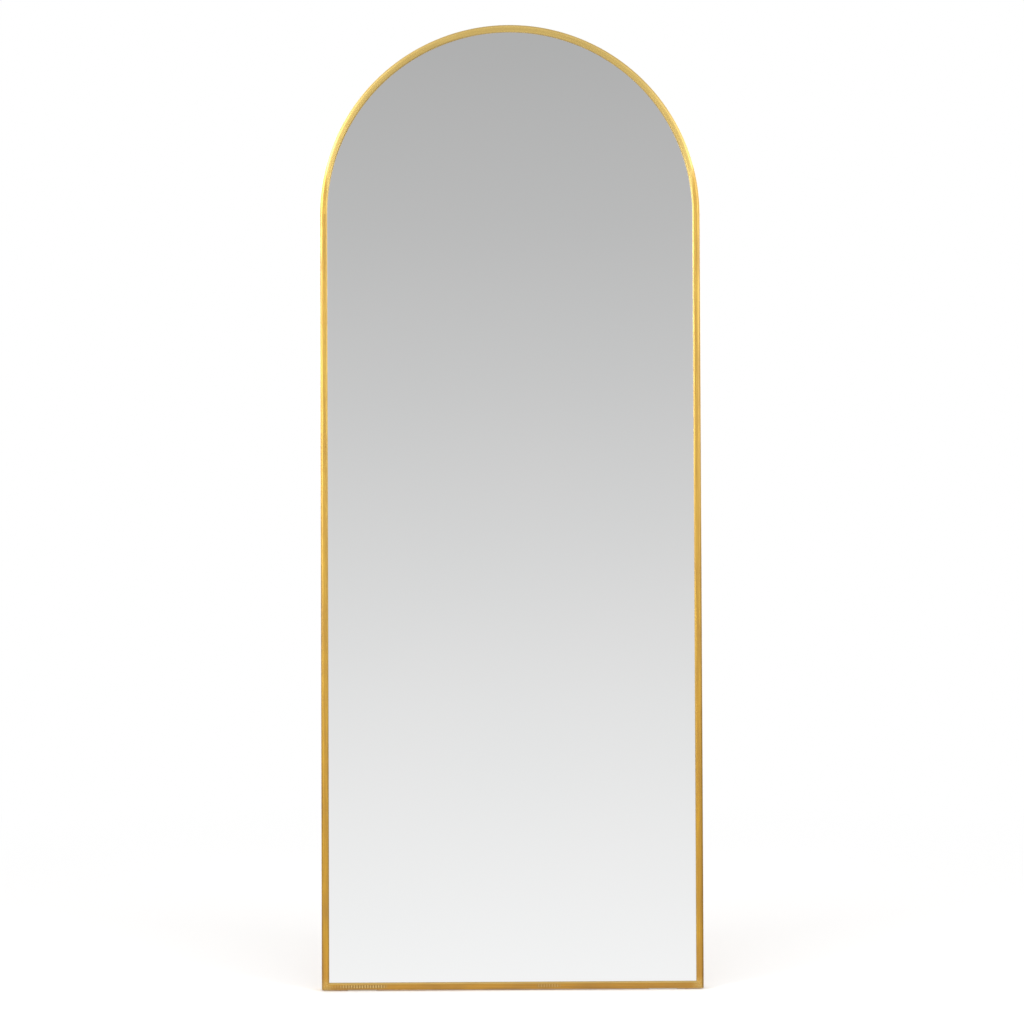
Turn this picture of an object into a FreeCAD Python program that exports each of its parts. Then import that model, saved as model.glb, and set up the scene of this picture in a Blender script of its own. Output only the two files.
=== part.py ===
"""Arched full-length floor mirror that leans on a wall.

A slim brass-finished steel frame, made of a hollow rebated tube, holds a silvered glass pane on a
fibreboard back. Offset clips hold the back in, two D-ring hangers and rubber bumpers are on the wall side,
and felt pads are under the bottom rail.

Frame of the part, in millimetres: X to the right seen from the front, Y from the glass to the wall, Z up,
with the origin on the floor under the middle of the part. Inside each piece, Y is counted from the frame's
front face and Z from the bottom of the rail, unless the piece has its own place.
"""

import FreeCAD
import Part
import Sketcher
import math
import os

from FreeCAD import Placement, Rotation, Vector

# Driving dimensions: name, value in millimetres, degrees or pieces, and what it is.
SIZES = (
    ("frame_height", 1930.0, "bottom of the rail to the top of the arch, 76 in"),
    ("frame_width", 762.0, "outside width, 30 in; the arch is a half circle of this width"),
    ("face_width", 15.0, "front face of the frame tube"),
    ("lip_width", 5.0, "how far the front lip stands inwards of the tube's leg"),
    ("lip_thickness", 3.0, "front lip, from the front face to the rebate"),
    ("frame_depth", 30.0, "front face to the rear face of the tube"),
    ("tube_wall", 1.8, "wall of the frame tube"),
    ("outer_edge_radius", 5.5, "rounding of the tube's outer front edge"),
    ("inner_edge_radius", 2.5, "rounding of the lip's front edge"),
    ("rear_edge_radius", 1.5, "rounding of the tube's two rear edges"),
    ("corner_radius", 4.0, "ground rounding of the two bottom corners, seen from the front"),
    ("lip_tape_thickness", 1.0, "foam tape between lip and glass"),
    ("lip_tape_width", 3.5, "foam tape between lip and glass"),
    ("lip_tape_gap", 0.5, "foam tape to the tube's leg"),
    ("glass_thickness", 4.0, "silvered float glass"),
    ("glass_gap", 1.0, "glass and board edge to the tube's leg"),
    ("glass_arris", 0.4, "seamed edges of the glass"),
    ("bond_tape_thickness", 1.0, "mounting tape between glass and board"),
    ("bond_tape_width", 25.0, "mounting tape between glass and board"),
    ("bond_tape_start", 80.0, "lower end of the mounting tape above the rail's bottom"),
    ("bond_tape_stop", 250.0, "upper end of the mounting tape below the top of the arch"),
    ("bond_tape_edge", 81.0, "middle of the outer strips from the frame's outer face"),
    ("bond_tape_count", 5, "strips of mounting tape"),
    ("board_thickness", 9.0, "fibreboard back"),
    ("board_skin", 1.0, "board left in front of a hanger screw's hole"),
    ("block_thickness", 1.5, "setting blocks under glass and board"),
    ("block_length", 40.0, "setting blocks under glass and board"),
    ("block_edge", 141.0, "middle of a setting block from the frame's outer face"),
    ("clip_thickness", 1.2, "offset clips"),
    ("clip_width", 12.0, "offset clips, along the frame"),
    ("clip_bend_radius", 1.0, "inside of a clip's bends"),
    ("clip_gap", 0.4, "clip's web to the tube's leg"),
    ("clip_edge", 1.5, "end of a clip's foot from the frame's outer face"),
    ("clip_toe", 12.0, "flat of a clip on the board"),
    ("stile_clip_end", 120.0, "a stile's end clips from the rail's bottom and from the springing line"),
    ("stile_clip_count", 4, "clips on each stile"),
    ("arch_clip_angle", 30.0, "first arch clip, degrees up from the springing line"),
    ("arch_clip_count", 3, "clips on the arch"),
    ("rail_clip_edge", 211.0, "rail clip from the frame's outer face"),
    ("shank_radius", 1.75, "screws"),
    ("head_radius", 3.45, "heads of the screws, at their seat"),
    ("head_top_radius", 2.6, "heads of the screws, at the top"),
    ("head_height", 2.1, "heads of the screws"),
    ("point_length", 2.5, "point of a screw"),
    ("point_gap", 0.3, "point of a hanger screw to the bottom of its hole"),
    ("screw_reach", 7.0, "clip screw inside the tube, past its wall"),
    ("screw_play", 0.05, "screw shank to the wall of its pilot hole"),
    ("hole_play", 0.35, "screw shank to the hole of a clip or strap"),
    ("wire_radius", 1.75, "round wire of the D-ring"),
    ("ring_half_width", 12.0, "middle of the D-ring to the middle of its wire"),
    ("ring_corner_radius", 3.0, "corners of the D-ring's bar, at the middle of the wire"),
    ("ring_leg", 4.0, "straight side of the D-ring"),
    ("ring_play", 0.3, "ring's bar to the inside of the rolled knuckle"),
    ("strap_thickness", 1.5, "hanger strap"),
    ("strap_width", 16.0, "hanger strap"),
    ("strap_end_radius", 4.0, "rounded lower corners of the hanger strap"),
    ("strap_screw_gap", 4.0, "hanging D-ring to the first screw head below it"),
    ("strap_screw_pitch", 18.0, "spacing of the strap's two screws"),
    ("strap_tail", 8.0, "strap below its second screw"),
    ("hanger_drop", 450.0, "axis of the D-rings below the top of the arch"),
    ("hanger_edge", 91.0, "middle of a hanger from the frame's outer face"),
    ("bumper_radius", 4.5, "rubber wall bumpers, at the frame"),
    ("bumper_height", 4.5, "rubber wall bumpers"),
    ("bumper_taper", 0.5, "narrower at the wall than at the frame"),
    ("bumper_chamfer", 0.6, "edge of a bumper's face"),
    ("bumper_low", 50.0, "lower bumpers above the rail's bottom"),
    ("bumper_angle", 70.0, "upper bumpers, degrees up from the springing line"),
    ("pad_thickness", 1.2, "felt floor pads"),
    ("pad_length", 60.0, "felt floor pads"),
    ("pad_corner_radius", 3.0, "felt floor pads"),
    ("pad_setback", 2.0, "front edge of the pads behind the frame's front face"),
    ("pad_lip", 1.6, "felt above the tube's underside, before the tube's rounding is taken out"),
    ("pad_edge", 81.0, "middle of a floor pad from the frame's outer face"),
)
SHEET = "Sizes"
CLEAR = 20.0  # how far the mitre cuts run past the tube
LEFT, RIGHT = -1, 1
HALF_TURN = 180  # degrees


class Size:
    """A dimension with its value and the spreadsheet formula that gives it."""

    def __init__(self, value, formula):
        self.value = value
        self.formula = formula

    def __add__(self, other):
        other = as_size(other)
        return Size(self.value + other.value, f"({self.formula} + {other.formula})")

    def __sub__(self, other):
        other = as_size(other)
        return Size(self.value - other.value, f"({self.formula} - {other.formula})")

    def __mul__(self, other):
        other = as_size(other)
        return Size(self.value * other.value, f"({self.formula} * {other.formula})")

    def __truediv__(self, other):
        other = as_size(other)
        return Size(self.value / other.value, f"({self.formula} / {other.formula})")

    def __neg__(self):
        return Size(-self.value, f"(0 - {self.formula})")

    def __rmul__(self, other):
        return as_size(other) * self

    def __rsub__(self, other):
        return as_size(other) - self


def as_size(number):
    """A plain number as a Size; a Size stays as it is."""
    return number if isinstance(number, Size) else Size(float(number), repr(float(number)))


doc = FreeCAD.newDocument("ArchedFloorMirror")
sheet = doc.addObject("Spreadsheet::Sheet", SHEET)
size = {}
for row, (name, number, meaning) in enumerate(SIZES, start=1):
    sheet.set(f"A{row}", meaning)
    sheet.set(f"B{row}", str(number))
    sheet.setAlias(f"B{row}", name)
    size[name] = Size(float(number), f"{SHEET}.{name}")
doc.recompute()

# Sizes that follow from the driving ones. Depths are counted from the frame's front face.
half_width = size["frame_width"] / 2
spring_height = size["frame_height"] - half_width  # where the arch meets the stiles
leg_width = size["face_width"] - size["lip_width"]
leg_middle = leg_width / 2  # line of the clip screws and bumpers, from the outer face
rear = size["frame_depth"]
glass_front = size["lip_thickness"] + size["lip_tape_thickness"]
glass_back = glass_front + size["glass_thickness"]
board_front = glass_back + size["bond_tape_thickness"]
board_back = board_front + size["board_thickness"]
glass_inset = leg_width + size["glass_gap"]  # glass and board edge from the outer face
glass_bottom = leg_width + size["block_thickness"]
hanger_place = half_width - size["hanger_edge"]  # from the middle of the mirror
hanger_height = size["frame_height"] - size["hanger_drop"]
knuckle_bore = size["wire_radius"] + size["ring_play"]
knuckle_radius = knuckle_bore + size["strap_thickness"]
ring_turn = size["ring_corner_radius"] + size["ring_leg"]  # ring's bar to the middle of its half circle
ring_reach = ring_turn + size["ring_half_width"] + size["wire_radius"]
strap_screw = ring_reach + size["strap_screw_gap"] + size["head_radius"]  # below the ring's bar
strap_length = strap_screw + size["strap_screw_pitch"] + size["strap_tail"]
front_y = -(rear + size["bumper_height"]) / 2  # frame's front face in the part's frame
nodes = []


# ---- Helpers: bodies, sketches that follow the sheet, and features


def bind(thing, prop, value):
    """Ties a property to the sheet."""
    thing.setExpression(prop, as_size(value).formula)


def new_body(name, x=0, y=0, z=0, turn=None):
    """A piece of the mirror, which becomes a node of that name. Its own origin is placed from the frame's
    front face and the rail's bottom, and it may be turned up about the arch's axis."""
    body = doc.addObject("PartDesign::Body", name)
    body.Label = name
    body.AllowCompound = True
    if turn is not None:
        body.Placement = Placement(Vector(), Rotation(Vector(0, -1, 0), turn.value))
        bind(body, "Placement.Rotation.Angle", turn)
    bind(body, "Placement.Base.x", x)
    bind(body, "Placement.Base.y", front_y + y)
    bind(body, "Placement.Base.z", size["pad_thickness"] + z)
    nodes.append(body)
    return body


def origin_feature(body, role):
    return next(f for f in body.Origin.OriginFeatures if f.Role == role)


def new_sketch(body, plane, offset=0, turn=None):
    """A sketch on one of the body's own planes, moved along its normal and turned in its plane."""
    sketch = body.newObject("Sketcher::SketchObject", f"{body.Name}_sketch")
    sketch.AttachmentSupport = [(origin_feature(body, plane), "")]
    sketch.MapMode = "FlatFace"
    if turn is not None:
        sketch.AttachmentOffset = Placement(Vector(), Rotation(Vector(0, 0, 1), turn.value))
        bind(sketch, "AttachmentOffset.Rotation.Angle", turn)
    bind(sketch, "AttachmentOffset.Base.z", offset)
    return sketch


def fix(sketch, kind, geometry, point, value):
    """Ties one coordinate of a sketched point to its distance from the origin."""
    value = as_size(value)
    number = sketch.addConstraint(Sketcher.Constraint(kind, -1, 1, geometry, point, value.value))
    sketch.setExpression(f"Constraints[{number}]", value.formula)


def fix_point(sketch, geometry, point, x, y):
    fix(sketch, "DistanceX", geometry, point, x)
    fix(sketch, "DistanceY", geometry, point, y)


def flat(x, y):
    """A sketch point drawn where it is given."""
    return x, y


def spot(x, y):
    return Vector(as_size(x).value, as_size(y).value, 0)


def draw(sketch, points, view=flat):
    """Draws a closed outline. A point is (x, y), reached by a line, or (x, y, centre x, centre y, radius),
    reached by the shorter arc about that centre; a half circle runs anticlockwise in the sketch."""
    spots = [spot(*view(*point[:2])) for point in points]
    ends = []
    for index, point in enumerate(points):
        start, end = spots[index - 1], spots[index]
        if len(point) == 2:
            ends.append((sketch.addGeometry(Part.LineSegment(start, end)), 1, 2))
            continue
        middle = view(*point[2:4])
        centre = spot(*middle)
        angles = [math.atan2(p.y - centre.y, p.x - centre.x) for p in (start, end)]
        forwards = (angles[1] - angles[0]) % (2 * math.pi) <= math.pi + 1e-9
        if not forwards:
            angles.reverse()
        circle = Part.Circle(centre, Vector(0, 0, 1), as_size(point[4]).value)
        geometry = sketch.addGeometry(Part.ArcOfCircle(circle, *angles))
        if abs(end.x - start.x) >= abs(end.y - start.y):
            fix(sketch, "DistanceY", geometry, 3, middle[1])
        else:
            fix(sketch, "DistanceX", geometry, 3, middle[0])
        ends.append((geometry, 1, 2) if forwards else (geometry, 2, 1))
    for index, (geometry, first, last) in enumerate(ends):
        before, _, before_last = ends[index - 1]
        sketch.addConstraint(Sketcher.Constraint("Coincident", before, before_last, geometry, first))
        fix_point(sketch, geometry, last, *view(*points[index][:2]))


def draw_circle(sketch, x, y, radius):
    geometry = sketch.addGeometry(Part.Circle(spot(x, y), Vector(0, 0, 1), radius.value))
    fix_point(sketch, geometry, 3, x, y)
    number = sketch.addConstraint(Sketcher.Constraint("Radius", geometry, radius.value))
    sketch.setExpression(f"Constraints[{number}]", radius.formula)


def rounded(corners):
    """Outline points for square corners (x, y, radius), where a radius of None leaves the corner sharp."""
    points = []
    for index, (x, y, radius) in enumerate(corners):
        x, y = as_size(x), as_size(y)
        if radius is None:
            points.append((x, y))
            continue
        steps = []
        for other in (corners[index - 1], corners[(index + 1) % len(corners)]):
            dx, dy = (as_size(a).value - b.value for a, b in zip(other, (x, y)))
            length = math.hypot(dx, dy)
            steps.append((round(dx / length), round(dy / length)))
        (back_x, back_y), (on_x, on_y) = steps
        centre = (x + (back_x + on_x) * radius, y + (back_y + on_y) * radius)
        points.append((x + back_x * radius, y + back_y * radius))
        points.append((x + on_x * radius, y + on_y * radius, *centre, radius))
    return points


def corner_chip(x, y, side_x, side_y, radius):
    """What a rounded corner loses: the corner is at (x, y) and the piece lies on the given sides of it."""
    inner = (x + side_x * radius, y + side_y * radius)
    return [(x, y), (inner[0], y), (x, inner[1], *inner, radius)]


def add(body, kind, profile, **properties):
    """Adds a sketch-based feature and makes it the body's tip. A Size ties its property to the sheet."""
    feature = body.newObject(f"PartDesign::{kind}", f"{body.Name}_{kind.lower()}")
    feature.Profile = profile
    for name, value in properties.items():
        if isinstance(value, Size):
            setattr(feature, name, value.value)
            bind(feature, name, value)
        else:
            setattr(feature, name, value)
    body.Tip = feature
    return feature


def cut_through(body, sketch):
    return add(body, "Pocket", sketch, Type="ThroughAll", SideType="Symmetric")


def row_of(body, features, axis, pitch, count):
    """Repeats features in a straight row along one of the body's axes."""
    pattern = body.newObject("PartDesign::LinearPattern", f"{body.Name}_row")
    pattern.Originals = features
    pattern.Direction = (origin_feature(body, axis), [""])
    bind(pattern, "Length", pitch * (count - 1))
    bind(pattern, "Occurrences", count)
    body.Tip = pattern


def fan_of(body, features, first, count):
    """Repeats features over the arch, from its first place on the right to the same place on the left."""
    pattern = body.newObject("PartDesign::PolarPattern", f"{body.Name}_fan")
    pattern.Originals = features
    pattern.Axis = (origin_feature(body, "Y_Axis"), [""])
    pattern.Reversed = True
    bind(pattern, "Angle", HALF_TURN - 2 * first)
    bind(pattern, "Occurrences", count)
    body.Tip = pattern


def mirror(body, features):
    """Repeats features on the other side of the body's middle plane."""
    copy = body.newObject("PartDesign::Mirrored", f"{body.Name}_mirrored")
    copy.Originals = features
    copy.MirrorPlane = (origin_feature(body, "YZ_Plane"), [""])
    body.Tip = copy


# ---- Frame: four lengths of hollow rebated tube, butt-welded at the springing line and mitred at the foot


class Member:
    """A straight or bent length of the frame. Its view places a point, given as the distance inwards from
    the frame's outer face and a second distance, on a sketch: on the section plane the second distance is
    the depth, and on the XZ plane it runs along the member."""

    def __init__(self, name, plane, view, first, repeat, **where):
        self.name = name
        self.plane = plane
        self.view = view
        self.first = first  # place of the first clip along the member
        self.repeat = repeat  # repeats features for the member's other clips
        self.where = where  # place of the bodies that hold its clips and screws


def on_stile(side):
    return lambda inwards, other: (side * (half_width - inwards), other)


def on_rail(inwards, other):
    return other, inwards


def along_stile(body, features):
    count = size["stile_clip_count"]
    pitch = (spring_height - 2 * size["stile_clip_end"]) / (count - 1)
    row_of(body, features, "Z_Axis", pitch, count)


def over_arch(body, features):
    fan_of(body, features, size["arch_clip_angle"], size["arch_clip_count"])


stile_left = Member("left", "XY_Plane", on_stile(LEFT), size["stile_clip_end"], along_stile)
stile_right = Member("right", "XY_Plane", on_stile(RIGHT), size["stile_clip_end"], along_stile)
arch_turn = size["arch_clip_angle"]
arch = Member("arch", "XY_Plane", on_stile(RIGHT), as_size(0), over_arch, z=spring_height, turn=arch_turn)
rail = Member("bottom", "YZ_Plane", on_rail, half_width - size["rail_clip_edge"], mirror)
MEMBERS = (stile_left, stile_right, arch, rail)


def tube_section(body, member):
    """Sketches the tube: a hollow leg, and a lip along its front that hides the edge of the glass."""
    wall = size["tube_wall"]
    rounding = size["outer_edge_radius"]
    step = size["lip_thickness"]
    outside = [
        (0, 0, rounding),
        (size["face_width"], 0, size["inner_edge_radius"]),
        (size["face_width"], step, None),
        (leg_width, step, None),
        (leg_width, rear, size["rear_edge_radius"]),
        (0, rear, size["rear_edge_radius"]),
    ]
    chamber = [
        (wall, rounding),
        (rounding, wall),
        (leg_width - wall, wall),
        (leg_width - wall, rear - wall),
        (wall, rear - wall),
    ]
    sketch = new_sketch(body, member.plane)
    draw(sketch, rounded(outside), member.view)
    draw(sketch, chamber, member.view)
    return sketch


def cut_corner(body, side, keep):
    """Mitres a tube end at the bottom corner on that side, and grinds the corner round. What is kept is
    the stile, above the mitre line, or the rail, below it."""
    edge = side * half_width
    tip = (edge + side * CLEAR, as_size(-CLEAR))
    end = (edge - side * (size["face_width"] + CLEAR), size["face_width"] + CLEAR)
    spare = (end[0], tip[1]) if keep == "stile" else (tip[0], end[1])
    mitre = new_sketch(body, "XZ_Plane")
    draw(mitre, [tip, spare, end])
    cut_through(body, mitre)
    corner = new_sketch(body, "XZ_Plane")
    draw(corner, corner_chip(edge, as_size(0), -side, 1, size["corner_radius"]))
    cut_through(body, corner)


def drill_leg(body, member, turn=None):
    """Drills the pilot holes of the clip screws through the rear wall of the tube's leg."""
    sketch = new_sketch(body, "XZ_Plane", offset=-rear, turn=turn)
    draw_circle(sketch, *member.view(leg_middle, member.first), size["shank_radius"] + size["screw_play"])
    hole = add(body, "Pocket", sketch, Type="Length", Reversed=True, Length=2 * size["tube_wall"])
    member.repeat(body, [hole])


def make_frame():
    for name, member, side in (("stile_left", stile_left, LEFT), ("stile_right", stile_right, RIGHT)):
        body = new_body(name)
        add(body, "Pad", tube_section(body, member), Length=spring_height)
        cut_corner(body, side, keep="stile")
        drill_leg(body, member)

    body = new_body("frame_arch", z=spring_height)
    section = tube_section(body, arch)
    add(body, "Revolution", section, ReferenceAxis=(section, ["V_Axis"]), Angle=180, Reversed=True)
    drill_leg(body, arch, turn=arch_turn)

    body = new_body("bottom_rail")
    add(body, "Pad", tube_section(body, rail), Length=size["frame_width"], SideType="Symmetric")
    cut_corner(body, LEFT, keep="rail")
    cut_corner(body, RIGHT, keep="rail")
    drill_leg(body, rail)


# ---- Glass, its board and what beds them in the frame


def arch_outline(inset, bottom):
    """Outline of a sheet that follows the frame, inset from its outer face."""
    radius = half_width - inset
    return [
        (radius, spring_height),
        (-radius, spring_height, 0, spring_height, radius),
        (-radius, bottom),
        (radius, bottom),
    ]


def make_sheet(name, front, thickness, outlines):
    """A sheet that stands in the frame, its front face at the given depth."""
    body = new_body(name)
    sketch = new_sketch(body, "XZ_Plane", offset=-front)
    for points in outlines:
        draw(sketch, points)
    add(body, "Pad", sketch, Length=thickness, Reversed=True)
    return body


def make_glazing():
    inset = leg_width + size["lip_tape_gap"]
    inner = inset + size["lip_tape_width"]
    tape = [arch_outline(inset, inset), arch_outline(inner, inner)]
    make_sheet("lip_tape", size["lip_thickness"], size["lip_tape_thickness"], tape)

    outline = arch_outline(glass_inset, glass_bottom)
    pane = make_sheet("mirror_pane", glass_front, size["glass_thickness"], [outline])
    doc.recompute()
    sheet_only = pane.Tip
    faces = [f"Face{n}" for n, f in enumerate(sheet_only.Shape.Faces, 1) if f.BoundBox.YLength < 0.01]
    seam = pane.newObject("PartDesign::Chamfer", "mirror_pane_arris")
    seam.Base = (sheet_only, faces)
    bind(seam, "Size", size["glass_arris"])
    pane.Tip = seam

    right = half_width - size["bond_tape_edge"]
    half = size["bond_tape_width"] / 2
    low = size["bond_tape_start"]
    high = size["frame_height"] - size["bond_tape_stop"]
    strip = [(-right - half, low), (-right + half, low), (-right + half, high), (-right - half, high)]
    body = make_sheet("bond_tape", glass_back, size["bond_tape_thickness"], [strip])
    count = size["bond_tape_count"]
    row_of(body, [body.Tip], "X_Axis", 2 * right / (count - 1), count)

    board = make_sheet("backing_board", board_front, size["board_thickness"], [outline])
    holes = new_sketch(board, "XZ_Plane", offset=-board_back)
    for z in (strap_screw, strap_screw + size["strap_screw_pitch"]):
        draw_circle(holes, hanger_place, hanger_height - z, size["shank_radius"] + size["screw_play"])
    depth = size["board_thickness"] - size["board_skin"]
    mirror(board, [add(board, "Pocket", holes, Type="Length", Length=depth, Reversed=True)])

    near = half_width - size["block_edge"] - size["block_length"] / 2
    far = near + size["block_length"]
    block = [(near, leg_width), (far, leg_width), (far, glass_bottom), (near, glass_bottom)]
    body = make_sheet("setting_blocks", glass_front, board_back - glass_front, [block])
    mirror(body, [body.Tip])


# ---- Clips and screws


def make_clips(member):
    """Offset clips: a foot on the tube's rear face, a web beside its leg and a toe on the board."""
    thick = size["clip_thickness"]
    inside = size["clip_bend_radius"]
    outside = inside + thick
    web = leg_width + size["clip_gap"]
    foot = web - inside  # end of the flat of the foot
    toe = web + outside  # start of the flat of the toe
    end = toe + size["clip_toe"]
    upper = (foot, rear - inside)
    lower = (toe, board_back + outside)
    start = size["clip_edge"]
    profile = [
        (start, rear),
        (foot, rear),
        (web, rear - inside, *upper, inside),
        (web, lower[1]),
        (toe, board_back, *lower, outside),
        (end, board_back),
        (end, board_back + thick),
        (toe, board_back + thick),
        (web + thick, lower[1], *lower, inside),
        (web + thick, upper[1]),
        (foot, rear + thick, *upper, outside),
        (start, rear + thick),
    ]
    body = new_body(f"clips_{member.name}", **member.where)
    section = new_sketch(body, member.plane, offset=member.first)
    draw(section, profile, member.view)
    strip = add(body, "Pad", section, Length=size["clip_width"], SideType="Symmetric")

    hole = new_sketch(body, "XZ_Plane")
    draw_circle(hole, *member.view(leg_middle, member.first), size["shank_radius"] + size["hole_play"])
    member.repeat(body, [strip, cut_through(body, hole)])


def turned_piece(body, x, profile, z=0):
    """Revolves an outline about an axis along Y through (x, z). It is a list of (radius, depth) that starts
    and ends on the axis."""
    sketch = new_sketch(body, "XY_Plane", offset=z)
    draw(sketch, [(x + radius, depth) for radius, depth in profile])
    start, end = ((x, profile[index][1]) for index in (0, -1))
    axis = sketch.addGeometry(Part.LineSegment(spot(*start), spot(*end)), True)
    fix_point(sketch, axis, 1, *start)
    fix_point(sketch, axis, 2, *end)
    return add(body, "Revolution", sketch, ReferenceAxis=(sketch, ["Axis0"]), Angle=360)


def add_screw(body, x, z, seat, length):
    """A screw along Y: its head bears at the depth of the seat, its point is that length in front."""
    shank = size["shank_radius"]
    top = seat + size["head_height"]
    profile = [
        (0, seat - length),
        (shank, seat - length + size["point_length"]),
        (shank, seat),
        (size["head_radius"], seat),
        (size["head_top_radius"], top),
        (0, top),
    ]
    return turned_piece(body, x, profile, z)


def make_clip_screws(member):
    body = new_body(f"clip_screws_{member.name}", **member.where)
    x, z = member.view(leg_middle, member.first)
    length = size["clip_thickness"] + size["tube_wall"] + size["screw_reach"]
    member.repeat(body, [add_screw(body, x, z, rear + size["clip_thickness"], length)])


# ---- Hangers: a strap rolled into a knuckle, and a D-ring that swings in it


def make_hanger(name, side):
    """Each piece's own origin is on the ring's axis, where it passes the rear face of the board."""
    where = {"x": side * hanger_place, "y": board_back, "z": hanger_height}
    thick = size["strap_thickness"]
    bore, outer = knuckle_bore, knuckle_radius
    axis = (outer, 0)
    profile = [
        (0, -strap_length),
        (thick, -strap_length),
        (thick, 0),
        (outer, bore, *axis, bore),
        (outer + bore, 0, *axis, bore),
        (outer, -bore, *axis, bore),
        (outer, -outer),
        (outer + outer, 0, *axis, outer),
        (outer, outer, *axis, outer),
        (0, 0, *axis, outer),
    ]
    plate = new_body(f"hanger_plate_{name}", **where)
    section = new_sketch(plate, "YZ_Plane")
    draw(section, profile)
    add(plate, "Pad", section, Length=size["strap_width"], SideType="Symmetric")
    cuts = new_sketch(plate, "XZ_Plane")
    for drop in (strap_screw, strap_screw + size["strap_screw_pitch"]):
        draw_circle(cuts, 0, -drop, size["shank_radius"] + size["hole_play"])
    for edge in (-1, 1):
        corner = (edge * size["strap_width"] / 2, -strap_length)
        draw(cuts, corner_chip(*corner, -edge, 1, size["strap_end_radius"]))
    cut_through(plate, cuts)

    ring = new_body(f"hanger_ring_{name}", **where)
    wide = size["ring_half_width"]
    bend = size["ring_corner_radius"]
    straight = wide - bend
    loop = new_sketch(ring, "XZ_Plane", offset=-outer)
    points = [
        (-straight, 0),
        (-wide, -bend, -straight, -bend, bend),
        (-wide, -ring_turn),
        (wide, -ring_turn, 0, -ring_turn, wide),
        (wide, -bend),
        (straight, 0, straight, -bend, bend),
    ]
    draw(loop, points)
    wire = new_sketch(ring, "YZ_Plane")
    draw_circle(wire, outer, 0, size["wire_radius"])
    add(ring, "AdditivePipe", wire, Spine=(loop, []))

    screws = new_body(f"hanger_screws_{name}", **where)
    length = thick + size["board_thickness"] - size["board_skin"] - size["point_gap"]
    low = -(strap_screw + size["strap_screw_pitch"])
    first = add_screw(screws, as_size(0), low, thick, length)
    row_of(screws, [first], "Z_Axis", size["strap_screw_pitch"], as_size(2))


# ---- Bumpers and floor pads


def add_bumper(body):
    """A rubber bumper on the tube's rear face, at the height of the body's own origin."""
    foot = size["bumper_radius"]
    edge = size["bumper_chamfer"]
    top = foot - size["bumper_taper"]
    face = rear + size["bumper_height"]
    profile = [(0, rear), (foot, rear), (top, face - edge), (top - edge, face), (0, face)]
    return turned_piece(body, half_width - leg_middle, profile)


def make_rests():
    body = new_body("bumpers_upper", z=spring_height, turn=size["bumper_angle"])
    fan_of(body, [add_bumper(body)], size["bumper_angle"], as_size(2))
    body = new_body("bumpers_lower", z=size["bumper_low"])
    mirror(body, [add_bumper(body)])

    body = new_body("floor_pads")
    sketch = new_sketch(body, "XY_Plane", offset=-size["pad_thickness"])
    near = half_width - size["pad_edge"] - size["pad_length"] / 2
    far = near + size["pad_length"]
    front = size["pad_setback"]
    back = rear - size["rear_edge_radius"]
    corners = ((near, front), (far, front), (far, back), (near, back))
    draw(sketch, rounded([(*corner, size["pad_corner_radius"]) for corner in corners]))
    felt = add(body, "Pad", sketch, Length=size["pad_thickness"] + size["pad_lip"])
    tube = new_sketch(body, "YZ_Plane")
    bend = size["outer_edge_radius"]
    draw(tube, [(0, bend), (bend, 0, bend, bend, bend), (rear, 0), (rear, 2 * bend), (0, 2 * bend)])
    mirror(body, [felt, cut_through(body, tube)])


make_frame()
make_glazing()
for member in MEMBERS:
    make_clips(member)
    make_clip_screws(member)
make_hanger("left", LEFT)
make_hanger("right", RIGHT)
make_rests()
doc.recompute()

for thing in doc.Objects:
    if {"Invalid", "Error"} & set(thing.State):
        raise RuntimeError(f"{thing.Label}: {thing.State}")
os.makedirs("parts", exist_ok=True)
for body in nodes:
    if body.Shape.isNull() or not body.Shape.isValid():
        raise RuntimeError(f"{body.Label}: no valid shape")
    body.Shape.exportStep(f"parts/{body.Label}.step")
    box = body.Shape.BoundBox
    low = ", ".join(f"{value:.2f}" for value in (box.XMin, box.YMin, box.ZMin))
    high = ", ".join(f"{value:.2f}" for value in (box.XMax, box.YMax, box.ZMax))
    print(f"{body.Label}: {len(body.Shape.Solids)} solids, {body.Shape.Volume:.0f} mm3, {low} to {high}")
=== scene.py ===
"""Looks of an arched floor mirror: a brushed brass frame round a silvered pane, with its board, clips,
screws, hangers and bumpers behind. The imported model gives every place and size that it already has."""

import math
from functools import partial

import bmesh
import bpy
from bpy.props import FloatProperty, FloatVectorProperty, IntProperty, PointerProperty
from mathutils import Matrix, Vector


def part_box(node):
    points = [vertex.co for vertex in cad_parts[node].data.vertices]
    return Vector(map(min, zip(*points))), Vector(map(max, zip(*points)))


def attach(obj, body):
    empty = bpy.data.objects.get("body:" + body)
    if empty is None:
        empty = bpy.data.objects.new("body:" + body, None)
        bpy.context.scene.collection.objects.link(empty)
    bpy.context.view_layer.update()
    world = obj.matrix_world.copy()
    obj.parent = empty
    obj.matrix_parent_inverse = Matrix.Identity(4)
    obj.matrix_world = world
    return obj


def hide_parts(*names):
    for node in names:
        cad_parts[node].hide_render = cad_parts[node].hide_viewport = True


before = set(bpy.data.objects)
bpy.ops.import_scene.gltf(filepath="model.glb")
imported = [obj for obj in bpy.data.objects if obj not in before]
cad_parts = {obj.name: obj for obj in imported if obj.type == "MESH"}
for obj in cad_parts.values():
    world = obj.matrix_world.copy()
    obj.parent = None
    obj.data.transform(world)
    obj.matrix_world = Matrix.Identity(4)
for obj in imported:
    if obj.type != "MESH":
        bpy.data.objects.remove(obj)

bl_info = {
    "name": "Arched floor mirror",
    "version": (1, 0, 0),
    "blender": (4, 5, 0),
    "location": "3D View > Sidebar > Mirror",
    "description": "Builds the visible pieces of an arched floor mirror on its packed frame",
    "category": "Object",
}

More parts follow.
